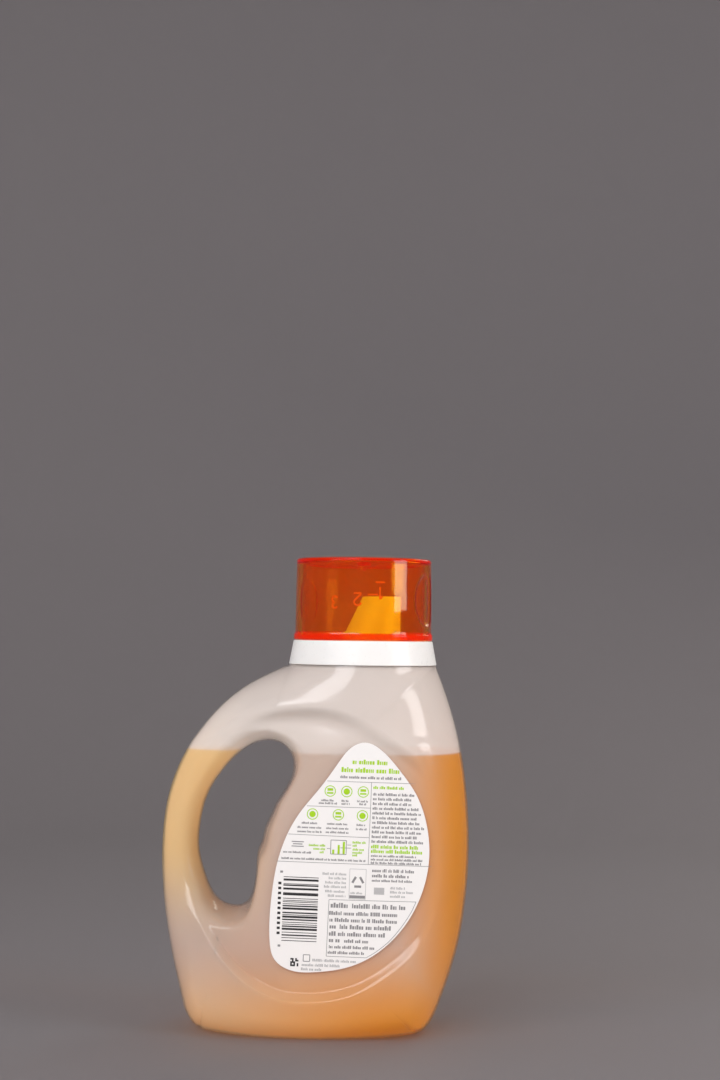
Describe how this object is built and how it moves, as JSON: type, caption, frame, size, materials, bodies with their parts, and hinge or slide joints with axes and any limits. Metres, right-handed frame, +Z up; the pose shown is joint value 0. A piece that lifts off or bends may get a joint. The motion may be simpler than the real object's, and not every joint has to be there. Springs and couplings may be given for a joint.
{
  "type": "laundry detergent bottle",
  "caption": "Blown detergent bottle with a through handle, a label panel in an oval recess, a drain-back pouring spout and a see-through measuring cap.",
  "frame": {"origin": "middle of the bounding box, on the surface that the bottle stands on", "axes": "+Z up, -Y towards the label, -X towards the handle, +X towards the pouring side"},
  "size_m": [0.1672, 0.09, 0.2544],
  "materials": {
    "milky_polyethylene": "milky translucent, satin",
    "amber_liquid": "clear amber liquid",
    "printed_film": null,
    "white_polypropylene": "satin white",
    "tinted_clear_polypropylene": "see-through red-orange, gloss"
  },
  "bodies": {
    "filled_bottle": {"bottle": "milky_polyethylene", "detergent": "amber_liquid", "label": "printed_film", "pour_fitment": "white_polypropylene"},
    "screw_cap": {"cap": "tinted_clear_polypropylene"}
  },
  "joints": [
    {"name": "cap_lift", "type": "slide", "parent": "filled_bottle", "child": "screw_cap", "axis": [0, 0, 1], "range_m": [0, 0.06]}
  ]
}
